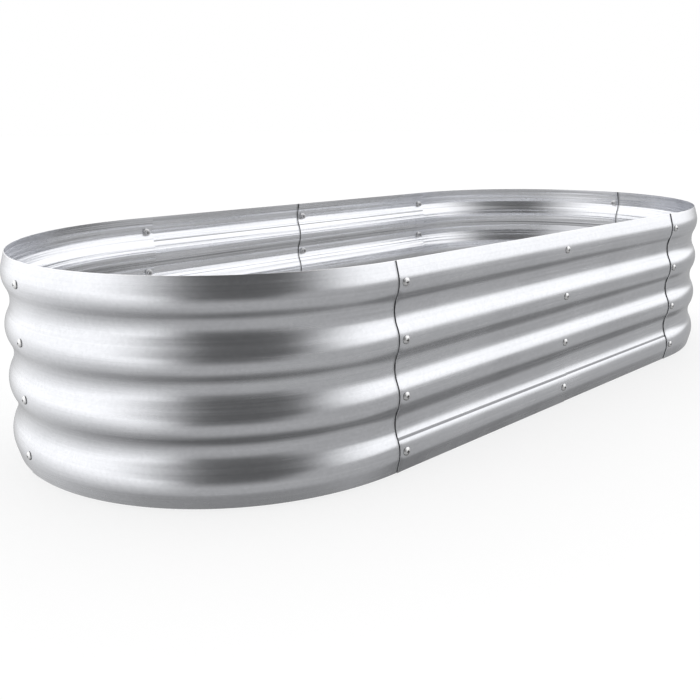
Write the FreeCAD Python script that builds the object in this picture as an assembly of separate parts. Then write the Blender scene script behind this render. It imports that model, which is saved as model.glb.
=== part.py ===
import FreeCAD, Part
import math
import os

# Oval raised garden bed of corrugated galvanised sheet, open at the top and at the bottom.
# Eight sheets make the ring: two straight panels on each long side and four quarter-round
# corner panels. Neighbouring sheets lap and four screws with washers and nuts, one on each
# ridge, hold every lap. Units are millimetres.
# X is the long axis, the front side faces -Y, Z is up. Z = 0 is the bottom edge of the sheets,
# and the origin is in the middle of the whole length and width.

os.makedirs("parts", exist_ok=True)

# ---- driving dimensions -------------------------------------------------------------------
HEIGHT = 300.0             # bottom edge to top edge of the sheets
CORNER_RADIUS = 350.0      # plan radius of the rounded ends, to the outside of the valleys
CENTRE_DISTANCE = 800.0    # between the centres of the two rounded ends

RIDGES = 4                 # corrugations over the height
PITCH = 80.0               # from one ridge to the next
DEPTH = 9.5                # from valley to ridge, on the outside
RIDGE_RADIUS = 44.0        # outside radius of the round ridges
LIP_SLOPE = 15.0           # lean of the flat lips along the top and bottom edges, in degrees
SHEET = 0.8                # sheet thickness
LAP_GAP = 0.05             # air between two lapped sheets

LAP = 25.0                 # how far two neighbouring sheets lap
CORNER_TAB = 15.0          # from the end of the curve of a corner panel to its screw row
HOLE = 6.6                 # screw holes

HEAD_WIDTH = 12.4          # low domed screw head
HEAD_HEIGHT = 3.2
HEAD_EDGE = 0.7            # straight part at the rim of the head
SHANK = 5.9
SHANK_LENGTH = 10.0
SHANK_CHAMFER = 0.6
RECESS_LENGTH = 5.2        # cross recess in the head
RECESS_WIDTH = 1.3
RECESS_DEPTH = 1.7

WASHER_WIDTH = 14.0
WASHER_BORE = 6.4
WASHER_THICKNESS = 1.2

NUT_FLATS = 10.0
NUT_HEIGHT = 5.0
NUT_BORE = 6.0
NUT_CHAMFER = 0.55

# ---- what follows from them ---------------------------------------------------------------
HALF = CENTRE_DISTANCE / 2
STEP = SHEET + LAP_GAP                                   # one sheet further out
FIRST_RIDGE = (HEIGHT - (RIDGES - 1) * PITCH) / 2
RIDGE_HEIGHTS = [FIRST_RIDGE + i * PITCH for i in range(RIDGES)]
FLANK = 2 * math.atan(DEPTH / (PITCH / 2))               # slope where ridge and valley meet
VALLEY_RADIUS = (PITCH / 2) / math.sin(FLANK) - RIDGE_RADIUS
LIP = math.radians(LIP_SLOPE)
LAP_ANGLE = math.degrees(LAP / 2 / CORNER_RADIUS)        # half a lap, along the curve

# The outermost sheets are on the front and on the right, so the ring stands half a sheet
# step off centre to put the origin in the middle of the whole bed.
RING_CENTRE = FreeCAD.Vector(-STEP / 2, STEP / 2, 0)

UP = FreeCAD.Vector(0, 0, 1)


# ---- corrugated sheet -----------------------------------------------------------------------
def on_arc(centre_n, centre_z, radius, angle):
    """Point of the section: n is the distance outwards, z the height, angle from outwards."""
    return FreeCAD.Vector(centre_n + radius * math.cos(angle), 0,
                          centre_z + radius * math.sin(angle))


def lip_ends(offset, crest, edge_height, slope):
    """Where a flat lip leaves its ridge, and its end at the edge of the sheet."""
    bend = on_arc(DEPTH - RIDGE_RADIUS, crest, RIDGE_RADIUS + offset, slope)
    lean = abs(edge_height - bend.z) * math.tan(LIP)
    return bend, FreeCAD.Vector(bend.x - lean, 0, edge_height)


def surface_line(offset):
    """Edges of one face of the sheet from bottom to top, moved outwards by offset."""
    ridge = RIDGE_RADIUS + offset
    valley = VALLEY_RADIUS - offset
    bottom_bend, bottom = lip_ends(offset, RIDGE_HEIGHTS[0], 0, -LIP)
    top_bend, top = lip_ends(offset, RIDGE_HEIGHTS[-1], HEIGHT, LIP)
    edges = [Part.makeLine(bottom, bottom_bend)]
    for i, height in enumerate(RIDGE_HEIGHTS):
        low = -LIP if i == 0 else -FLANK
        high = LIP if i == RIDGES - 1 else FLANK
        arc = [on_arc(DEPTH - RIDGE_RADIUS, height, ridge, a) for a in (low, (low + high) / 2, high)]
        edges.append(Part.Arc(*arc).toShape())
        if i < RIDGES - 1:
            middle = height + PITCH / 2
            turn = (math.pi + FLANK, math.pi, math.pi - FLANK)
            arc = [on_arc(VALLEY_RADIUS, middle, valley, a) for a in turn]
            edges.append(Part.Arc(*arc).toShape())
    edges.append(Part.makeLine(top_bend, top))
    return edges


def section(level):
    """Sheet section in the XZ plane, x measured outwards from the valleys of level 0."""
    outer = surface_line(level * STEP)
    inner = surface_line(level * STEP - SHEET)
    ends = []
    for index in (0, -1):
        ends.append(Part.makeLine(outer[index].Vertexes[index].Point,
                                  inner[index].Vertexes[index].Point))
    return Part.Face(Part.Wire(Part.__sortEdges__(outer + inner + ends)))


def straight_sheet(level, start, length):
    """Sheet standing on the front side (outside faces -Y) from x = start."""
    face = section(level)
    face.rotate(FreeCAD.Vector(), UP, -90)
    face.translate(FreeCAD.Vector(start, -CORNER_RADIUS, 0))
    return face.extrude(FreeCAD.Vector(length, 0, 0))


def curved_sheet(level, from_angle, to_angle):
    """Sheet round the Z axis, angles in degrees from +X."""
    face = section(level)
    face.translate(FreeCAD.Vector(CORNER_RADIUS, 0, 0))
    face.rotate(FreeCAD.Vector(), UP, from_angle)
    return face.revolve(FreeCAD.Vector(), UP, to_angle - from_angle)


def straight_panel(level):
    """Front right straight panel, half a lap past both of its screw rows."""
    return straight_sheet(level, -LAP / 2, HALF - CORNER_TAB + LAP)


def corner_panel(level):
    """Front right corner panel: a quarter round with a short flat tab on the front side."""
    curve = curved_sheet(level, -90, LAP_ANGLE)
    tab_length = CORNER_TAB + LAP / 2
    tab = straight_sheet(level, -tab_length, tab_length)
    panel = curve.fuse(tab)
    panel.translate(FreeCAD.Vector(HALF, 0, 0))
    return panel


# ---- screws, washers and nuts ------------------------------------------------------------------
# Each is built along X: the head stands on the plane x = 0 and points to +X, the shank to -X.
def turned(points):
    """Solid of revolution about X. Each point is (x, radius); one that ends an arc also has
    the x and radius of the middle of the arc."""
    edges = []
    for a, b in zip(points, points[1:]):
        first = FreeCAD.Vector(a[0], 0, a[1])
        last = FreeCAD.Vector(b[0], 0, b[1])
        if len(b) == 4:
            edges.append(Part.Arc(first, FreeCAD.Vector(b[2], 0, b[3]), last).toShape())
        else:
            edges.append(Part.makeLine(first, last))
    face = Part.Face(Part.Wire(edges))
    return face.revolve(FreeCAD.Vector(), FreeCAD.Vector(1, 0, 0), 360)


def dome_middle():
    """Point half way along the round top of the head."""
    rise = HEAD_HEIGHT - HEAD_EDGE
    half = HEAD_WIDTH / 2
    radius = (half ** 2 + rise ** 2) / (2 * rise)
    angle = math.asin(half / radius) / 2
    return (HEAD_HEIGHT - radius + radius * math.cos(angle), radius * math.sin(angle))


def make_screw():
    shank = SHANK / 2
    tip = -SHANK_LENGTH
    outline = [
        (tip, 0),
        (tip, shank - SHANK_CHAMFER),
        (tip + SHANK_CHAMFER, shank),
        (0, shank),
        (0, HEAD_WIDTH / 2),
        (HEAD_EDGE, HEAD_WIDTH / 2),
        (HEAD_HEIGHT, 0) + dome_middle(),
        (tip, 0),
    ]
    screw = turned(outline)
    slot = Part.makeBox(RECESS_DEPTH * 2, RECESS_LENGTH, RECESS_WIDTH)
    slot.translate(FreeCAD.Vector(HEAD_HEIGHT - RECESS_DEPTH, -RECESS_LENGTH / 2, -RECESS_WIDTH / 2))
    crossing = slot.copy()
    crossing.rotate(FreeCAD.Vector(), FreeCAD.Vector(1, 0, 0), 90)
    return screw.cut(slot.fuse(crossing))


def make_washer(seat):
    """Flat washer whose outer face is at x = seat."""
    half = WASHER_WIDTH / 2
    bore = WASHER_BORE / 2
    inner = seat - WASHER_THICKNESS
    return turned([(inner, bore), (seat, bore), (seat, half), (inner, half), (inner, bore)])


def make_nut(seat):
    """Hexagon nut whose outer face is at x = seat, with both rims chamfered."""
    corner = NUT_FLATS / 2 / math.cos(math.radians(30))
    flats = [FreeCAD.Vector(0, corner * math.cos(math.radians(60 * k)),
                            corner * math.sin(math.radians(60 * k))) for k in range(7)]
    prism = Part.Face(Part.makePolygon(flats)).extrude(FreeCAD.Vector(-NUT_HEIGHT, 0, 0))
    low = NUT_FLATS / 2 - 0.1
    drop = NUT_CHAMFER
    barrel = turned([
        (0, NUT_BORE / 2),
        (0, low),
        (-drop, corner),
        (drop - NUT_HEIGHT, corner),
        (-NUT_HEIGHT, low),
        (-NUT_HEIGHT, NUT_BORE / 2),
        (0, NUT_BORE / 2),
    ])
    nut = prism.common(barrel)
    nut.translate(FreeCAD.Vector(seat, 0, 0))
    return nut


def washer_seat():
    """x of the washer's outer face: its rim touches the hollow of the inner sheet's ridge."""
    inner_face = -2 * SHEET - LAP_GAP
    half = WASHER_WIDTH / 2
    hollow = RIDGE_RADIUS - 2 * STEP - SHEET
    bend = CORNER_RADIUS - 2 * STEP
    hang_ridge = hollow - math.sqrt(hollow ** 2 - half ** 2)
    hang_corner = bend - math.sqrt(bend ** 2 - half ** 2)
    return inner_face - hang_ridge - hang_corner


# ---- the eight joints ----------------------------------------------------------------------------
# name: (plan position of the screw row, direction it faces in degrees, level of the outer sheet)
ROW = HALF - CORNER_TAB
END = HALF + CORNER_RADIUS
JOINTS = {
    "front_left": ((-ROW, -CORNER_RADIUS), -90, 1),
    "front_middle": ((0, -CORNER_RADIUS), -90, 1),
    "front_right": ((ROW, -CORNER_RADIUS), -90, 1),
    "right_end": ((END, 0), 0, 1),
    "back_right": ((ROW, CORNER_RADIUS), 90, 0),
    "back_middle": ((0, CORNER_RADIUS), 90, 0),
    "back_left": ((-ROW, CORNER_RADIUS), 90, 0),
    "left_end": ((-END, 0), 180, 0),
}


def at_joint(joint, shape):
    """Copies of a fastener on all ridges of a joint, resting on the outer sheet's ridges."""
    (x, y), facing, level = JOINTS[joint]
    copies = []
    for height in RIDGE_HEIGHTS:
        copy = shape.copy()
        copy.translate(FreeCAD.Vector(DEPTH + level * STEP, 0, 0))
        copy.rotate(FreeCAD.Vector(), UP, facing)
        copy.translate(FreeCAD.Vector(x, y, height))
        copies.append(copy)
    return copies


DRILL = Part.makeCylinder(HOLE / 2, DEPTH * 2, FreeCAD.Vector(-DEPTH, 0, 0), FreeCAD.Vector(1, 0, 0))


def drilled(panel, joints):
    drills = []
    for joint in joints:
        drills += at_joint(joint, DRILL)
    return panel.cut(drills)


def export(name, shape):
    shape.translate(RING_CENTRE)
    shape.exportStep("parts/" + name + ".step")
    box = shape.BoundBox
    print(name, len(shape.Solids), shape.isValid(), round(shape.Volume),
          [round(v, 2) for v in (box.XMin, box.XMax, box.YMin, box.YMax, box.ZMin, box.ZMax)])


# ---- the eight sheets ------------------------------------------------------------------------------
def mirrored(shape, along_x, along_y):
    """The same sheet in another corner of the ring. The section is symmetric top to bottom, so
    a mirrored sheet is the same sheet turned upside down."""
    if along_x:
        shape = shape.mirror(FreeCAD.Vector(), FreeCAD.Vector(1, 0, 0))
    if along_y:
        shape = shape.mirror(FreeCAD.Vector(), FreeCAD.Vector(0, 1, 0))
    return shape


SHEETS = {
    # name: (sheet, in the left half, on the back side, joints at its two ends)
    "front_left_corner": (corner_panel(0), True, False, ("left_end", "front_left")),
    "front_left_panel": (straight_panel(1), True, False, ("front_left", "front_middle")),
    "front_right_panel": (straight_panel(0), False, False, ("front_middle", "front_right")),
    "front_right_corner": (corner_panel(1), False, False, ("front_right", "right_end")),
    "back_right_corner": (corner_panel(0), False, True, ("right_end", "back_right")),
    "back_right_panel": (straight_panel(-1), False, True, ("back_right", "back_middle")),
    "back_left_panel": (straight_panel(0), True, True, ("back_middle", "back_left")),
    "back_left_corner": (corner_panel(-1), True, True, ("back_left", "left_end")),
}

for name, (sheet, left, back, joints) in SHEETS.items():
    export(name, drilled(mirrored(sheet, left, back), joints))

SEAT = washer_seat()
SCREW = make_screw()
WASHER = make_washer(SEAT)
NUT = make_nut(SEAT - WASHER_THICKNESS)
for joint in JOINTS:
    export(joint + "_screws", Part.makeCompound(at_joint(joint, SCREW)))
    export(joint + "_washers", Part.makeCompound(at_joint(joint, WASHER)))
    export(joint + "_nuts", Part.makeCompound(at_joint(joint, NUT)))
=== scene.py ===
import bmesh
import bpy
import math
from mathutils import Matrix, Vector


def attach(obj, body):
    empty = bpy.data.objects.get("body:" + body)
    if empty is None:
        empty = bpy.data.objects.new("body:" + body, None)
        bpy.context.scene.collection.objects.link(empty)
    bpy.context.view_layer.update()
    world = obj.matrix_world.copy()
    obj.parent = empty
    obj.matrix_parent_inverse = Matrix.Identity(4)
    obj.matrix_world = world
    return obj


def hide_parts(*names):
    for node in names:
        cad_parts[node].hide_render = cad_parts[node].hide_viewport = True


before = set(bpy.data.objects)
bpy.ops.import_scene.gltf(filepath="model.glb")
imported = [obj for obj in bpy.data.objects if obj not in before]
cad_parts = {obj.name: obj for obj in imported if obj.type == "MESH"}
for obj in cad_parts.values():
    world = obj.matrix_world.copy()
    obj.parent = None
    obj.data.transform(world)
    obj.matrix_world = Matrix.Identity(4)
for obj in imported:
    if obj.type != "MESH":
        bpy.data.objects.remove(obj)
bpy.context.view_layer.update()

# Oval raised garden bed of corrugated galvanised sheet: eight lapped sheets in a ring, with four
# screws, washers and nuts through every lap. All sizes are in metres.

# ---- sizes, as in the solids ---------------------------------------------------------------------
HEIGHT = 0.300              # bottom edge to top edge of the sheets
CORNER_RADIUS = 0.350       # plan radius of the rounded ends, to the outside of the valleys
HALF = 0.400                # from the middle to the centre of a rounded end
RIDGES = 4
PITCH = 0.080               # from one ridge to the next
DEPTH = 0.0095              # from valley to ridge
RIDGE_RADIUS = 0.044
LIP = math.radians(15)      # lean of the flat lips along the top and bottom edges
SHEET = 0.0008              # sheet thickness
STEP = 0.00085              # one lapped sheet further out
LAP = 0.025
CORNER_TAB = 0.015          # from the end of a corner's curve to its screw row
WASHER_HALF = 0.007         # half a washer's width
WASHER = 0.0012             # washer thickness
FIRST_RIDGE = (HEIGHT - (RIDGES - 1) * PITCH) / 2
ROW = HALF - CORNER_TAB     # screw rows of the long sides
END = HALF + CORNER_RADIUS
RING_CENTRE = (-STEP / 2, STEP / 2)

FLANK = 2 * math.atan(DEPTH / (PITCH / 2))
VALLEY_RADIUS = (PITCH / 2) / math.sin(FLANK) - RIDGE_RADIUS
WAVE = 2 * FLANK * (RIDGE_RADIUS + VALLEY_RADIUS)           # length of one pitch along the surface
EDGE_REACH = RIDGE_RADIUS * LIP + (FIRST_RIDGE - RIDGE_RADIUS * math.sin(LIP)) / math.cos(LIP)
DEVELOPED = 2 * EDGE_REACH + (RIDGES - 1) * WAVE            # from edge to edge along the surface
STEPS_ACROSS = 150          # mesh steps from edge to edge
CREASE = 24 / STEPS_ACROSS * DEVELOPED                      # shallow fold of the flat sheets
CREASE_DEPTH = 0.0004
CREASE_HEIGHT = FIRST_RIDGE + RIDGE_RADIUS * math.sin((CREASE - EDGE_REACH) / RIDGE_RADIUS)


# ---- node trees ----------------------------------------------------------------------------------
class Value:
    """One output of a node. Arithmetic on it adds Math nodes to its tree."""

    def __init__(self, tree, socket):
        self.tree = tree
        self.socket = socket

    def maths(self, operation, *others):
        return self.tree.add("ShaderNodeMath", {"operation": operation}, [self, *others])

    def __add__(self, other):
        return self.maths("ADD", other)

    def __sub__(self, other):
        return self.maths("SUBTRACT", other)

    def __mul__(self, other):
        return self.maths("MULTIPLY", other)

    def __truediv__(self, other):
        return self.maths("DIVIDE", other)

    def __rsub__(self, other):
        return self.tree.add("ShaderNodeMath", {"operation": "SUBTRACT"}, [other, self])

    def __neg__(self):
        return self.maths("MULTIPLY", -1.0)

    __radd__ = __add__
    __rmul__ = __mul__

    def above(self, limit):
        return self.maths("GREATER_THAN", limit)

    def below(self, limit):
        return self.maths("LESS_THAN", limit)

    def least(self, other):
        return self.maths("MINIMUM", other)

    def most(self, other):
        return self.maths("MAXIMUM", other)

    def size(self):
        return self.maths("ABSOLUTE")

    def sine(self):
        return self.maths("SINE")

    def cosine(self):
        return self.maths("COSINE")

    def power(self, exponent):
        return self.maths("POWER", exponent)

    def ramp(self, start, end, low=0.0, high=1.0):
        """Smooth step from low at start to high at end."""
        return self.tree.add("ShaderNodeMapRange", {"interpolation_type": "SMOOTHSTEP"},
                             {"Value": self, "From Min": start, "From Max": end,
                              "To Min": low, "To Max": high})

    def choose(self, if_true, if_false):
        """if_true where this is 1, if_false where it is 0."""
        return self * if_true + (1 - self) * if_false


class Tree:
    """A node tree that is built up node by node."""

    def __init__(self, nodes, links):
        self.nodes = nodes
        self.links = links

    def add(self, kind, settings=None, inputs=None, output=0):
        """One output of a new node. Its settings are made first, then its inputs, which are values
        or links, by name or in the order of its sockets."""
        node = self.nodes.new(kind)
        for name, setting in (settings or {}).items():
            setattr(node, name, setting)
        if isinstance(inputs, (list, tuple)):
            pairs = zip([s for s in node.inputs if s.enabled or not s.is_unavailable], inputs)
        else:
            pairs = [(self.find(node.inputs, name), value)
                     for name, value in (inputs or {}).items()]
        for socket, value in pairs:
            if isinstance(value, Value):
                self.links.new(value.socket, socket)
            else:
                socket.default_value = value
        return Value(self, self.find(node.outputs, output))

    @staticmethod
    def find(sockets, name):
        if isinstance(name, int):
            return sockets[name]
        return next(s for s in sockets if s.name == name and s.enabled and not s.is_unavailable)

    def other(self, value, name):
        """Another output of the node that value comes from."""
        return Value(self, self.find(value.socket.node.outputs, name))

    def vector(self, x, y, z=0.0):
        return self.add("ShaderNodeCombineXYZ", None, [x, y, z])

    def split(self, vector):
        first = self.add("ShaderNodeSeparateXYZ", None, [vector])
        return first, self.other(first, "Y"), self.other(first, "Z")


class GeometryTree(Tree):
    """A Geometry Nodes tree with named inputs, used as a modifier and turned into a plain mesh."""

    def __init__(self, name):
        self.group = bpy.data.node_groups.new(name, "GeometryNodeTree")
        super().__init__(self.group.nodes, self.group.links)
        self.entry = self.nodes.new("NodeGroupInput")
        for way in ("INPUT", "OUTPUT"):
            self.group.interface.new_socket("Geometry", in_out=way,
                                            socket_type="NodeSocketGeometry")

    def input(self, name, kind="Float"):
        self.group.interface.new_socket(name, in_out="INPUT", socket_type="NodeSocket" + kind)
        return Value(self, self.find(self.entry.outputs, name))

    def geometry(self):
        return Value(self, self.entry.outputs["Geometry"])

    def store(self, geometry, name, kind, value, domain="POINT"):
        return self.add("GeometryNodeStoreNamedAttribute", {"data_type": kind, "domain": domain},
                        {"Geometry": geometry, "Name": name, "Value": value})

    def read(self, name, kind="FLOAT"):
        return self.add("GeometryNodeInputNamedAttribute", {"data_type": kind}, {"Name": name},
                        "Attribute")

    def finish(self, geometry):
        done = self.nodes.new("NodeGroupOutput")
        self.links.new(geometry.socket, done.inputs["Geometry"])

    def make(self, name, mesh=None, **sizes):
        """A plain mesh object from this tree with these input values (spaces as underscores)."""
        base = bpy.data.objects.new(name + "_base", mesh or bpy.data.meshes.new(name + "_base"))
        bpy.context.scene.collection.objects.link(base)
        modifier = base.modifiers.new("shape", "NODES")
        modifier.node_group = self.group
        places = {item.name: item.identifier for item in self.group.interface.items_tree
                  if item.in_out == "INPUT"}
        for size, value in sizes.items():
            modifier[places[size.replace("_", " ")]] = value
        evaluated = base.evaluated_get(bpy.context.evaluated_depsgraph_get())
        made = bpy.data.objects.new(name, bpy.data.meshes.new_from_object(evaluated))
        made.data.name = name
        bpy.context.scene.collection.objects.link(made)
        bpy.data.objects.remove(base)
        return made


# ---- corrugated sheet ----------------------------------------------------------------------------
def corrugated_sheet_tree():
    """Front right sheet of the ring: a flat stretch from From to To, then a bend round the end.

    A closed section (outer face up, inner face down) is swept along the plan line. It is then
    mirrored into its corner of the ring. Lift bends the last few millimetres of a lapped end
    away from its neighbour."""
    tree = GeometryTree("corrugated sheet")
    start, flat = tree.input("From"), tree.input("Flat")
    bend, radius = tree.input("Bend"), tree.input("Radius")
    level = tree.input("Level")
    height, ridges, pitch = tree.input("Height"), tree.input("Ridges"), tree.input("Pitch")
    depth, round_ridge, lip = tree.input("Depth"), tree.input("Ridge Radius"), tree.input("Lip")
    thickness = tree.input("Thickness")
    crease, crease_depth = tree.input("Crease"), tree.input("Crease Depth")
    lift_from, lift_to = tree.input("Lift From"), tree.input("Lift To")
    lift_length = tree.input("Lift Length")
    lap = tree.input("Lap")
    covered_from, covered_to = tree.input("Covered From"), tree.input("Covered To")
    side_x, side_y = tree.input("Side X"), tree.input("Side Y")
    shift_x, shift_y = tree.input("Shift X"), tree.input("Shift Y")
    steps_along, steps_across = tree.input("Steps Along", "Int"), tree.input("Steps Across", "Int")
    finish = tree.input("Finish", "Material")

    # the closed section: climb runs from 0 to 1 up the outer face and back to 0 down the inner one
    index = tree.add("GeometryNodeInputIndex")
    line = tree.add("GeometryNodeMeshLine", {"mode": "OFFSET", "count_mode": "TOTAL"},
                    {"Count": steps_across * 2 + 2, "Offset": (1.0, 0.0, 0.0)})
    per_face = steps_across + 1
    inside = index.above(steps_across + 0.5)
    climb = inside.choose(2 * per_face - 1 - index, index) / steps_across

    # run is the distance from the first ridge along the middle of the surface, and beside the
    # distance from the nearest ridge, down (up = -1) or up
    slope = (depth * 2 / pitch).maths("ARCTANGENT") * 2
    round_valley = pitch / 2 / slope.sine() - round_ridge
    wave = (round_ridge + round_valley) * slope * 2
    lowest = (height - (ridges - 1) * pitch) / 2
    lip_length = (lowest - round_ridge * lip.sine()) / lip.cosine()
    edge_reach = round_ridge * lip + lip_length
    developed = edge_reach * 2 + (ridges - 1) * wave
    run = climb * developed - edge_reach
    ridge = (run / wave).maths("ROUND")
    beside = run - ridge * wave
    up = beside.maths("SIGN")
    beside = beside.size()

    offset = level - inside * thickness
    at_edge = (ridge.below(0.5) * up.below(0.0)).most(ridge.above(ridges - 1.5) * up.above(0.0))
    in_lip = at_edge * beside.above(round_ridge * lip)
    in_valley = (1 - at_edge) * beside.above(round_ridge * slope)
    outer_ridge, outer_valley = round_ridge + offset, round_valley - offset
    ridge_angle = beside / round_ridge
    valley_angle = (wave / 2 - beside) / round_valley
    down_lip = (beside - round_ridge * lip) / lip_length * (lowest - outer_ridge * lip.sine())
    rise = in_valley.choose(pitch / 2 - outer_valley * valley_angle.sine(),
                            outer_ridge * ridge_angle.sine())
    rise = in_lip.choose(outer_ridge * lip.sine() + down_lip, rise)
    out = in_valley.choose(round_valley - outer_valley * valley_angle.cosine(),
                           depth - round_ridge + outer_ridge * ridge_angle.cosine())
    out = in_lip.choose(depth - round_ridge + outer_ridge * lip.cosine()
                        - down_lip * lip.sine() / lip.cosine(), out)
    fold = (1 - ((climb * developed - crease) / developed * steps_across).size()).most(0.0)
    out = out - fold * crease_depth
    level_up = (lowest + ridge * pitch + up * rise).most(0.0).least(height)
    line = tree.add("GeometryNodeSetPosition", None,
                    {"Geometry": line, "Position": tree.vector(out, -level_up)})
    line = tree.store(line, "outside", "FLOAT", 1 - inside)
    line = tree.store(line, "climb", "FLOAT", climb * developed)
    section = tree.add("GeometryNodeMeshToCurve", None, {"Mesh": line})
    section = tree.add("GeometryNodeSetSplineCyclic", None, {"Geometry": section, "Cyclic": True})

    # the plan line, from the flat end round the bend
    length = flat + bend * radius
    path = tree.add("GeometryNodeMeshLine", {"mode": "OFFSET", "count_mode": "TOTAL"},
                    {"Count": steps_along + 1, "Offset": (1.0, 0.0, 0.0)})
    along = index / steps_along * length
    turn = (along - flat).most(0.0) / radius
    near_from = (1 - along / lift_length).most(0.0).power(2.0) * lift_from
    near_to = (1 - (length - along) / lift_length).most(0.0).power(2.0) * lift_to
    lift = near_from + near_to
    path = tree.add("GeometryNodeSetPosition", None, {
        "Geometry": path,
        "Position": tree.vector(start + along.least(flat) + radius * turn.sine(),
                                -(radius * turn.cosine()))})
    path = tree.store(path, "along", "FLOAT", along)
    path = tree.store(path, "lift", "FLOAT_VECTOR",
                      tree.vector(lift * turn.sine(), -(lift * turn.cosine())))
    path = tree.add("GeometryNodeMeshToCurve", None, {"Mesh": path})
    path = tree.add("GeometryNodeSetCurveNormal", {"mode": "Z_UP"}, {"Curve": path})
    sheet = tree.add("GeometryNodeCurveToMesh", None,
                     {"Curve": path, "Profile Curve": section, "Fill Caps": True})
    sheet = tree.add("GeometryNodeSetPosition", None,
                     {"Geometry": sheet, "Offset": tree.read("lift", "FLOAT_VECTOR")})

    # what the finish reads: place on the sheet, and how far past a neighbour's edge it is
    here = tree.read("along")
    face = tree.read("outside")
    far = 1.0
    past_from = (face - covered_from).size().above(0.5).choose(far, here - lap)
    past_to = (face - covered_to).size().above(0.5).choose(far, length - here - lap)
    sheet = tree.store(sheet, "past_from", "FLOAT", past_from)
    sheet = tree.store(sheet, "past_to", "FLOAT", past_to)
    sheet = tree.store(sheet, "sheet_map", "FLOAT2", tree.vector(here, tree.read("climb")),
                       "CORNER")

    sheet = tree.add("GeometryNodeSetShadeSmooth", {"domain": "FACE"},
                     {"Geometry": sheet, "Shade Smooth": True})
    sharp = tree.add("GeometryNodeInputMeshEdgeAngle").above(0.8)
    sheet = tree.add("GeometryNodeSetShadeSmooth", {"domain": "EDGE"},
                     {"Geometry": sheet, "Selection": sharp, "Shade Smooth": False})

    # into its corner of the ring
    x, y, z = tree.split(tree.add("GeometryNodeInputPosition"))
    sheet = tree.add("GeometryNodeSetPosition", None, {
        "Geometry": sheet,
        "Position": tree.vector(x * side_x + shift_x, y * side_y + shift_y, z)})
    inside_out = (side_x * side_y).above(0.0)
    sheet = tree.add("GeometryNodeFlipFaces", None, {"Mesh": sheet, "Selection": inside_out})
    sheet = tree.add("GeometryNodeRealizeInstances", None, {"Geometry": sheet})
    sheet = tree.add("GeometryNodeSetMaterial", None, {"Geometry": sheet, "Material": finish})
    tree.finish(sheet)
    return tree


# ---- fasteners -----------------------------------------------------------------------------------
def fastener_rows_tree():
    """One copy of a fastener on every ridge above each point; the points carry their facing."""
    tree = GeometryTree("fasteners on every ridge")
    fastener = tree.input("Fastener", "Object")
    ridges, pitch, lowest = tree.input("Ridges", "Int"), tree.input("Pitch"), tree.input("Lowest")
    turn, seed = tree.input("Turn"), tree.input("Seed", "Int")
    finish = tree.input("Finish", "Material")

    rows = tree.add("GeometryNodeDuplicateElements", {"domain": "POINT"},
                    {"Geometry": tree.geometry(), "Amount": ridges})
    number = tree.other(rows, "Duplicate Index")
    rows = tree.add("GeometryNodeSetPosition", None,
                    {"Geometry": rows, "Offset": tree.vector(0.0, 0.0, lowest + number * pitch)})
    spin = tree.add("FunctionNodeRandomValue", {"data_type": "FLOAT"},
                    {"Min": -turn, "Max": turn, "Seed": seed})
    copies = tree.add("GeometryNodeInstanceOnPoints", None, {
        "Points": rows,
        "Instance": tree.add("GeometryNodeObjectInfo", None, {"Object": fastener}, "Geometry"),
        "Rotation": tree.add("FunctionNodeEulerToRotation", None,
                             [tree.vector(spin, 0.0, tree.read("facing"))])})
    copies = tree.add("GeometryNodeRealizeInstances", None, {"Geometry": copies})
    copies = tree.add("GeometryNodeSetMaterial", None, {"Geometry": copies, "Material": finish})
    tree.finish(copies)
    return tree


def mesh_object(name, build):
    """An object whose mesh is made by build(bm)."""
    mesh = bpy.data.meshes.new(name)
    bm = bmesh.new()
    build(bm)
    bm.to_mesh(mesh)
    bm.free()
    made = bpy.data.objects.new(name, mesh)
    bpy.context.scene.collection.objects.link(made)
    return made


def lathe(bm, outline, steps, widen=None):
    """Turns an outline of (x, radius) round X; widen(x, radius, angle) may move its points."""
    rings = []
    for k in range(steps):
        angle = 2 * math.pi * k / steps
        ring = []
        for x, radius in outline:
            if widen:
                x, radius = widen(x, radius, angle)
            ring.append(bm.verts.new((x, radius * math.cos(angle), radius * math.sin(angle))))
        rings.append(ring)
    for k in range(steps):
        here, there = rings[k], rings[(k + 1) % steps]
        for a in range(len(outline) - 1):
            bm.faces.new((here[a], here[a + 1], there[a + 1], there[a]))
    bmesh.ops.remove_doubles(bm, verts=bm.verts, dist=1e-7)
    bmesh.ops.dissolve_degenerate(bm, edges=bm.edges, dist=1e-8)
    bmesh.ops.recalc_face_normals(bm, faces=bm.faces)


def arc(centre, radius, start, end, steps):
    """Points (x, radius) of an arc; angles in degrees from +X towards the outside."""
    points = []
    for k in range(steps + 1):
        angle = math.radians(start + (end - start) * k / steps)
        points.append((centre[0] + radius * math.cos(angle), centre[1] + radius * math.sin(angle)))
    return points


def smooth_by_angle(thing, degrees):
    """Smooth faces, with sharp edges where they meet at more than this."""
    mesh = thing.data
    bm = bmesh.new()
    bm.from_mesh(mesh)
    for face in bm.faces:
        face.smooth = True
    for edge in bm.edges:
        edge.smooth = len(edge.link_faces) == 2 and edge.calc_face_angle(0) < math.radians(degrees)
    bm.to_mesh(mesh)
    bm.free()


def cut(thing, tool):
    """thing with tool taken out of it."""
    modifier = thing.modifiers.new("cut", "BOOLEAN")
    modifier.operation = "DIFFERENCE"
    modifier.solver = "EXACT"
    modifier.object = tool
    evaluated = thing.evaluated_get(bpy.context.evaluated_depsgraph_get())
    mesh = bpy.data.meshes.new_from_object(evaluated)
    thing.modifiers.clear()
    thing.data = mesh
    bpy.data.objects.remove(tool)


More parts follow.
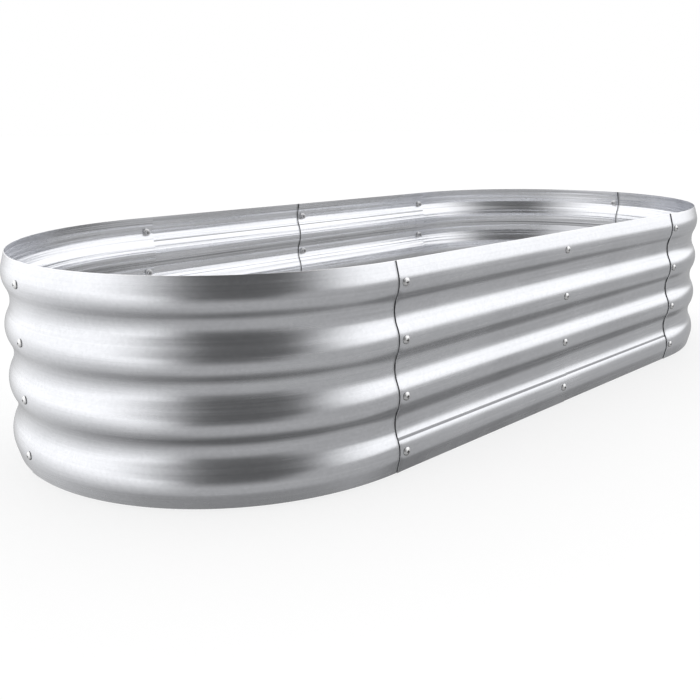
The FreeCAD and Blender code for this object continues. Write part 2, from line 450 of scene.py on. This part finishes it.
def screw_pattern():
    """Low domed screw: its head stands on x = 0 and points to +X."""
    head, tall, edge = 0.0062, 0.0032, 0.0007
    rise = tall - edge
    dome = (head ** 2 + rise ** 2) / (2 * rise)
    reach = math.degrees(math.asin(head / dome))
    shank, tip = 0.00295, -0.010
    point, ease = 0.0006, 0.00015
    outline = [(tip, 0), (tip, shank - point), (tip + point, shank), (0, shank), (0, head - ease)]
    outline += arc((ease, head - ease), ease, 180, 90, 3)[1:]
    outline += [(edge - 0.0001, head)]
    outline += [(x, max(r, 0)) for x, r in arc((tall - dome, 0), dome, reach * 0.985, 0, 14)]
    screw = mesh_object("screw_pattern", lambda bm: lathe(bm, outline, 48))

    for size in ((0.0034, 0.0052, 0.0013), (0.0034, 0.0013, 0.0052)):
        slot = Matrix.Translation((tall, 0, 0)) @ Matrix.Diagonal((*size, 1.0))
        cut(screw, mesh_object("slot", lambda bm: bmesh.ops.create_cube(bm, size=1.0, matrix=slot)))
    smooth_by_angle(screw, 35)
    # where painted shade goes: 1 in the cross recess, 0.6 on the shank and under the head
    hollow = screw.data.attributes.new("hollow", "FLOAT", "POINT")
    for vertex in screw.data.vertices:
        x, y, z = vertex.co
        below = (tall - dome + math.sqrt(max(dome ** 2 - y * y - z * z, 0))) - x
        recess = x > 0.0008 and below > 0.0004
        foot = x < 0.0005 and math.hypot(y, z) > shank + 0.0002
        hollow.data[vertex.index].value = 1.0 if recess else (0.6 if x < -0.0004 or foot else 0.0)
    return screw


def washer_pattern(seat):
    bore, ease = 0.0032, 0.0002
    inner = seat - WASHER
    outline = [(seat, bore + ease), (seat, WASHER_HALF - ease)]
    outline += arc((seat - ease, WASHER_HALF - ease), ease, 0, 90, 3)[1:]
    outline += arc((inner + ease, WASHER_HALF - ease), ease, 90, 180, 3)
    outline += [(inner, bore + ease), (inner + ease, bore), (seat - ease, bore),
                (seat, bore + ease)]
    washer = mesh_object("washer_pattern", lambda bm: lathe(bm, outline, 48))
    smooth_by_angle(washer, 35)
    return washer


def nut_pattern(seat):
    flats, tall, bore, chamfer = 0.005, 0.005, 0.003, 0.00055
    corner = flats / math.cos(math.radians(30))
    rim = flats - 0.0001
    outline = [(0, bore + 0.0003), (0, rim), (-chamfer, corner), (chamfer - tall, corner),
               (-tall, rim), (-tall, bore + 0.0003), (0.0003 - tall, bore), (-0.0003, bore),
               (0, bore + 0.0003)]

    def hexagon(x, radius, angle):
        if radius < corner - 1e-6:
            return x, radius
        side = flats / math.cos((angle + math.pi / 6) % (math.pi / 3) - math.pi / 6)
        drop = chamfer * (side - rim) / (corner - rim)
        return (-drop if x > -tall / 2 else drop - tall), side

    nut = mesh_object("nut_pattern", lambda bm: lathe(bm, outline, 48, hexagon))
    bm = bmesh.new()
    bm.from_mesh(nut.data)
    bmesh.ops.translate(bm, verts=bm.verts, vec=(seat, 0, 0))
    bm.to_mesh(nut.data)
    bm.free()
    smooth_by_angle(nut, 25)
    return nut


# ---- finishes ------------------------------------------------------------------------------------
class Finish(Tree):
    """A material that is built up from expressions and ends in one Principled shader."""

    def __init__(self, name):
        self.material = bpy.data.materials.new(name)
        self.material.use_nodes = True
        tree = self.material.node_tree
        tree.nodes.clear()
        super().__init__(tree.nodes, tree.links)

    def attribute(self, name):
        return self.add("ShaderNodeAttribute", {"attribute_name": name}, None, "Fac")

    def noise(self, vector, scale, detail=2.0, roughness=0.5):
        return self.add("ShaderNodeTexNoise", None,
                        {"Vector": vector, "Scale": scale, "Detail": detail,
                         "Roughness": roughness}, "Fac")

    def stretched(self, vector, along, across):
        """vector with its first two parts scaled, for streaks that run along the sheet."""
        return self.add("ShaderNodeVectorMath", {"operation": "MULTIPLY"},
                        [vector, (along, across, 1.0)])

    def tint(self, amount, dark, light):
        """A colour from dark to light."""
        return self.over(amount, (*dark, 1.0), light)

    def over(self, amount, below, colour):
        """This much of colour laid over what is below."""
        return self.add("ShaderNodeMix", {"data_type": "RGBA", "clamp_factor": True},
                        {"Factor": amount, "A": below, "B": (*colour, 1.0)}, "Result")

    def bump(self, height_mm, strength):
        """The normal of a fine relief, whose height is in millimetres."""
        return self.add("ShaderNodeBump", None,
                        {"Height": height_mm, "Distance": 0.001, "Strength": strength}, "Normal")

    def done(self, colour, roughness, normal):
        """The material, as bare metal."""
        shader = self.add("ShaderNodeBsdfPrincipled", None, {
            "Base Color": colour, "Roughness": roughness, "Normal": normal, "Metallic": 1.0})
        self.output(shader)
        return self.material

    def output(self, shader):
        end = self.nodes.new("ShaderNodeOutputMaterial")
        self.links.new(shader.socket, end.inputs["Surface"])


def galvanised_sheet(name, crease_height=None):
    """Satin zinc coating: fine lines along the sheet from rolling, stronger and streaky on the
    inner face, whose base colour is painted lighter for the light it misses, soft cloudy patches,
    painted shade in the gap beside each lap and a duller band with painted shade next to it,
    dull grime along the bottom edge, a painted highlight along the rims, and on flat sheets
    painted shade along one folded line."""
    finish = Finish(name)
    place = finish.add("ShaderNodeUVMap", {"uv_map": "sheet_map"})
    _, climb, _ = finish.split(place)
    body = finish.add("ShaderNodeTexCoord", None, None, "Object")
    _, _, height = finish.split(body)

    fine = finish.noise(finish.stretched(place, 6.0, 1500.0), 1.0, 3.0, 0.6)
    lines = finish.noise(finish.stretched(place, 2.2, 260.0), 1.0, 3.0, 0.6)
    broad = finish.noise(finish.stretched(place, 1.3, 45.0), 1.0, 2.0)
    waves = finish.noise(finish.stretched(place, 0.9, 85.0), 1.0, 1.5)
    ripples = finish.noise(finish.stretched(place, 1.6, 190.0), 1.0, 1.0)
    inner_face = 1 - finish.attribute("outside")
    clouds = finish.noise(body, 9.0, 3.0, 0.55)
    spangle = finish.add("ShaderNodeTexVoronoi", {"feature": "F1"},
                         {"Vector": body, "Scale": 260.0}, "Color")
    spangle, _, _ = finish.split(spangle)

    # mask of the painted highlight along the top and bottom edges of the sheet
    from_rim = (DEVELOPED - climb).least(climb)
    rim = from_rim.ramp(0.0002, 0.0016, 1.0, 0.0)
    splash = height.ramp(0.0, 0.022, 1.0, 0.0) * finish.noise(body, 30.0, 2.0).ramp(0.3, 0.8)

    # painted shade in the gap at each lap edge, drawn wider on the inner face towards the top
    past = finish.attribute("past_from"), finish.attribute("past_to")
    lap = 0.0
    gap_shade_widening = 1 + inner_face * height.ramp(0.20, HEIGHT, 3.5, 8.0)
    for edge in past:
        lap = (edge / gap_shade_widening).ramp(-0.0005, 0.0010, 1.0, 0.0).most(lap)
    # painted shade, with a duller surface, for a few millimetres beside each lap edge
    shade_and_dulling_beside_lap = 0.0
    for edge in past:
        shade_and_dulling_beside_lap = edge.ramp(0.0010, 0.0060, 1.0, 0.0).most(shade_and_dulling_beside_lap)

    # inner_face * 0.36 is painted light: the inner face's base colour is lighter for the light it
    # misses inside the ring
    shade = (lines - 0.5) * 0.5 + (broad - 0.5) * 0.35 + (clouds - 0.5) * 0.5 \
        + (spangle - 0.5) * 0.12 + inner_face * 0.36 + 0.5
    colour = finish.tint(shade, (0.595, 0.605, 0.630), (0.895, 0.905, 0.940))
    streaks = inner_face * (ripples * 0.6 + waves * 0.4).ramp(0.52, 0.36)
    colour = finish.over(streaks * 0.30, colour, (0.40, 0.405, 0.42))
    # painted highlight: a light strip along the top and bottom edges
    colour = finish.over(rim * 0.5, colour, (0.95, 0.95, 0.95))
    colour = finish.over(splash * 0.22, colour, (0.50, 0.49, 0.48))
    # painted shade beside each lap edge
    colour = finish.over(shade_and_dulling_beside_lap * 0.35, colour, (0.35, 0.35, 0.36))
    # painted shade: a near-black line in the gap at each lap edge, broken up by noise
    gap_shade_patches = finish.noise(body, 60.0, 2.0).ramp(0.35, 0.65, 0.55, 1.0)
    colour = finish.over(lap * gap_shade_patches, colour, (0.03, 0.03, 0.03))

    roughness = 0.23 + (lines - 0.5) * 0.16 + (clouds - 0.5) * 0.18 + (fine - 0.5) * 0.10 \
        + splash * 0.15 + shade_and_dulling_beside_lap * 0.1 + inner_face * 0.05
    relief = fine * 0.010 + lines * 0.03 + inner_face * (waves * 5.5 + ripples * 1.6)
    if crease_height is not None:
        # painted shade: a dark line along the fold, besides a groove in the bump
        from_crease = (height - crease_height).size()
        colour = finish.over(from_crease.ramp(0.0004, 0.0014, 1.0, 0.0) * 0.75, colour,
                             (0.10, 0.10, 0.11))
        relief = relief - from_crease.ramp(0.0004, 0.0032, 1.0, 0.0) * 1.1
    return finish.done(colour, roughness, finish.bump(relief, 0.55))


def bright_plating(name, light, dark):
    """Bright zinc plating of a small part, with painted shade in its hollows, fine scratches and
    dull specks.
    """
    finish = Finish(name)
    body = finish.add("ShaderNodeTexCoord", None, None, "Object")
    specks = finish.noise(body, 900.0, 3.0, 0.6)
    clouds = finish.noise(body, 220.0, 2.0)
    hollow = finish.attribute("hollow")
    shade = (specks - 0.5) * 0.5 + (clouds - 0.5) * 0.6 + 0.5
    colour = finish.tint(shade, dark, light)
    # painted shade, near black, in the screw's recess, on its shank and under its head
    colour = finish.over(hollow * 0.92, colour, (0.02, 0.02, 0.02))
    roughness = 0.34 + (clouds - 0.5) * 0.2 + (specks - 0.5) * 0.1 + hollow * 0.2
    return finish.done(colour, roughness, finish.bump(specks * 0.02, 0.5))


CORNER_FINISH = galvanised_sheet("galvanised corner sheet")
FRONT_FINISH = galvanised_sheet("galvanised front sheet", CREASE_HEIGHT)
BACK_FINISH = galvanised_sheet("galvanised back sheet", HEIGHT - CREASE_HEIGHT)
SCREW_FINISH = bright_plating("bright screw plating", (0.92, 0.92, 0.92), (0.74, 0.74, 0.75))
WASHER_FINISH = bright_plating("bright washer plating", (0.92, 0.92, 0.92), (0.72, 0.72, 0.73))
NUT_FINISH = bright_plating("bright nut plating", (0.90, 0.90, 0.91), (0.66, 0.66, 0.67))

# ---- the eight sheets ----------------------------------------------------------------------------
LIFT = 0.0007               # how far a sheet stands off its neighbour at a loose lap
LIFT_LENGTH = 0.0055        # how much of its end bends away for that
CORNER_STEPS, PANEL_STEPS = 150, 104                        # mesh steps along a sheet
CORNER_BEND = math.pi / 2 + LAP / 2 / CORNER_RADIUS
OUTSIDE, INSIDE = 1.0, 0.0
# CLOSED: this end's neighbour gets no painted shade line beside its edge
CLOSED = 2.0                # a tight lap, without a dark line beside it
SHEETS = {
    # node: (corner panel, half, side, level, face that the neighbour covers at the first and last
    #        end, lift at the first and last end)
    "front_left_corner": (True, -1, 1, 0, (OUTSIDE, INSIDE), (0, 0)),
    "front_left_panel": (False, -1, 1, 1, (INSIDE, INSIDE), (0, LIFT)),
    "front_right_panel": (False, 1, 1, 0, (CLOSED, OUTSIDE), (0, 0)),
    "front_right_corner": (True, 1, 1, 1, (INSIDE, INSIDE), (LIFT, 0)),
    "back_right_corner": (True, 1, -1, 0, (CLOSED, OUTSIDE), (0, -LIFT)),
    "back_right_panel": (False, 1, -1, -1, (OUTSIDE, OUTSIDE), (-LIFT, 0)),
    "back_left_panel": (False, -1, -1, 0, (INSIDE, CLOSED), (0, 0)),
    "back_left_corner": (True, -1, -1, -1, (OUTSIDE, CLOSED), (0, 0)),
}
sheet_tree = corrugated_sheet_tree()
for node, (corner, half, side, level, covered, lift) in SHEETS.items():
    tab = CORNER_TAB + LAP / 2
    sheet = sheet_tree.make(
        node + "_sheet",
        From=HALF - tab if corner else -LAP / 2,
        Flat=tab if corner else ROW + LAP,
        Bend=CORNER_BEND if corner else 0.0,
        Radius=CORNER_RADIUS,
        Level=level * STEP,
        Height=HEIGHT, Ridges=float(RIDGES), Pitch=PITCH, Depth=DEPTH,
        Ridge_Radius=RIDGE_RADIUS, Lip=LIP, Thickness=SHEET,
        Lift_From=float(lift[0]), Lift_To=float(lift[1]), Lift_Length=LIFT_LENGTH,
        Lap=LAP, Covered_From=covered[0], Covered_To=covered[1],
        Side_X=float(half), Side_Y=float(side),
        Shift_X=RING_CENTRE[0], Shift_Y=RING_CENTRE[1],
        Crease=CREASE if side > 0 else DEVELOPED - CREASE,
        Crease_Depth=0.0 if corner else CREASE_DEPTH,
        Steps_Along=CORNER_STEPS if corner else PANEL_STEPS, Steps_Across=STEPS_ACROSS,
        Finish=CORNER_FINISH if corner else (FRONT_FINISH if side > 0 else BACK_FINISH),
    )
    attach(sheet, "root")
    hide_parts(node)

# ---- screws, washers and nuts --------------------------------------------------------------------
JOINTS = {
    # joint: (plan position of the screw row, direction it faces in degrees, outer sheet's level)
    "front_left": ((-ROW, -CORNER_RADIUS), -90, 1),
    "front_middle": ((0, -CORNER_RADIUS), -90, 1),
    "front_right": ((ROW, -CORNER_RADIUS), -90, 1),
    "right_end": ((END, 0), 0, 1),
    "back_right": ((ROW, CORNER_RADIUS), 90, 0),
    "back_middle": ((0, CORNER_RADIUS), 90, 0),
    "back_left": ((-ROW, CORNER_RADIUS), 90, 0),
    "left_end": ((-END, 0), 180, 0),
}


def joint_points():
    """One point per joint, on the ridge of its outer sheet, with the direction it faces."""
    mesh = bpy.data.meshes.new("joint_points")
    points, turns = [], []
    for (x, y), facing, level in JOINTS.values():
        angle = math.radians(facing)
        reach = DEPTH + level * STEP
        points.append((x + reach * math.cos(angle) + RING_CENTRE[0],
                       y + reach * math.sin(angle) + RING_CENTRE[1], 0.0))
        turns.append(angle)
    mesh.from_pydata(points, [], [])
    mesh.attributes.new("facing", "FLOAT", "POINT").data.foreach_set("value", turns)
    return mesh


def washer_seat():
    """x of the washer's outer face: its rim touches the hollow of the inner sheet's ridge."""
    def sag(radius):
        return radius - math.sqrt(radius ** 2 - WASHER_HALF ** 2)

    return -SHEET - STEP - sag(RIDGE_RADIUS - 2 * STEP - SHEET) - sag(CORNER_RADIUS - 2 * STEP)


SEAT = washer_seat()
fastener_tree = fastener_rows_tree()
for kind, pattern, seed, finish, slot in (
        ("screws", screw_pattern(), 4, SCREW_FINISH, "screw_plating"),
        ("washers", washer_pattern(SEAT), 5, WASHER_FINISH, "washer_plating"),
        ("nuts", nut_pattern(SEAT - WASHER), 6, NUT_FINISH, "nut_plating")):
    pattern.data.materials.clear()
    pattern.data.materials.append(finish)
    row = fastener_tree.make(kind, joint_points(), Fastener=pattern, Ridges=RIDGES, Pitch=PITCH,
                             Lowest=FIRST_RIDGE, Turn=math.pi, Seed=seed, Finish=finish)
    bpy.data.objects.remove(pattern)
    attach(row, "root")
    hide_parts(*[joint + "_" + kind for joint in JOINTS])


# ---- studio --------------------------------------------------------------------------------------
def floor_finish():
    """Pale floor that shows white with the object's shadow, and clear to mirrored rays."""
    finish = Finish("white floor")
    path = finish.add("ShaderNodeLightPath", None, None, "Is Camera Ray")
    diffuse = finish.add("ShaderNodeBsdfDiffuse", None, {"Color": (0.30, 0.30, 0.30, 1.0)})
    glow = finish.add("ShaderNodeEmission", None, {"Color": (1.0, 1.0, 1.0, 1.0), "Strength": 0.72})
    white = finish.add("ShaderNodeAddShader", None, [diffuse, glow])
    shown = finish.add("ShaderNodeMixShader", None, [path, diffuse, white])
    clear = finish.add("ShaderNodeBsdfTransparent")
    finish.output(finish.add("ShaderNodeMixShader", None,
                             [finish.other(path, "Is Glossy Ray"), shown, clear]))
    return finish.material


FLOOR_SIDE, FLOOR_LEVEL = 60.0, -0.0008
floor = mesh_object("floor", lambda bm: bmesh.ops.create_grid(
    bm, x_segments=1, y_segments=1, size=FLOOR_SIDE / 2,
    matrix=Matrix.Translation((0, 0, FLOOR_LEVEL))))
floor.data.materials.append(floor_finish())

world = bpy.data.worlds.new("studio")
bpy.context.scene.world = world
world.use_nodes = True
world.node_tree.nodes.clear()
sky = Tree(world.node_tree.nodes, world.node_tree.links)
camera_ray = sky.add("ShaderNodeLightPath", None, None, "Is Camera Ray")
direction = sky.add("ShaderNodeTexCoord", None, None, "Generated")
dx, dy, dz = sky.split(direction)
# What the sheets mirror: white walls and ceiling, a grey ground that is lighter on the left and
# darker right below, and a dark opening in front of the left end. Bearings are in degrees
# anticlockwise from the middle of the opening.
OPENING = math.radians(236)
ahead = dx * math.cos(OPENING) + dy * math.sin(OPENING)
aside = dy * math.cos(OPENING) - dx * math.sin(OPENING)
bearing = aside.maths("ARCTAN2", ahead) * (180 / math.pi)
down = -dz
walls = 1.32 - bearing.ramp(-75, -15) * bearing.ramp(66, 16) * 1.2
foot_start, foot_width = bearing.ramp(66, 122, 0.70, 0.34), bearing.ramp(50, 110, 0.24, 0.11)
foot = ((down - foot_start) / foot_width).ramp(0.0, 1.0)
dim = bearing.ramp(-50, -15) * bearing.ramp(30, 8) * down.ramp(0.38, 0.10)
grey_ground = (0.455 - foot * bearing.ramp(50, 90, 0.33, 0.25)) * (1 - dim * 0.70)
light_ground = 1.32 - down * 1.27
left = bearing.ramp(-22, -52) * bearing.ramp(-165, -125)
seen = dz.ramp(-0.05, 0.09).choose(walls, left.choose(light_ground, grey_ground))
light = camera_ray.choose(1.0, seen)
background = sky.add("ShaderNodeBackground", None, {"Color": light, "Strength": 1.0})
world_end = sky.nodes.new("ShaderNodeOutputWorld")
sky.links.new(background.socket, world_end.inputs["Surface"])

# ---- camera --------------------------------------------------------------------------------------
YAW, PITCH_DOWN, ROLL = 0.78279, 0.16426, -0.00298
forward = Vector((math.cos(PITCH_DOWN) * math.cos(YAW), math.cos(PITCH_DOWN) * math.sin(YAW),
                  -math.sin(PITCH_DOWN)))
right = Vector((math.sin(YAW), -math.cos(YAW), 0))
upward = right.cross(forward)
right, upward = (right * math.cos(ROLL) + upward * math.sin(ROLL),
                 upward * math.cos(ROLL) - right * math.sin(ROLL))
camera = bpy.data.objects.new("camera", bpy.data.cameras.new("camera"))
bpy.context.scene.collection.objects.link(camera)
camera.matrix_world = Matrix.Translation((-1.13802, -1.10622, 0.48021)) @ \
    Matrix((right, upward, -forward)).transposed().to_4x4()
camera.data.sensor_width = 36.0
camera.data.lens = 41.395
camera.data.shift_x = -0.0786
camera.data.shift_y = -0.1335
camera.data.clip_start = 0.05
bpy.context.scene.camera = camera

bpy.context.scene.view_settings.view_transform = "Standard"
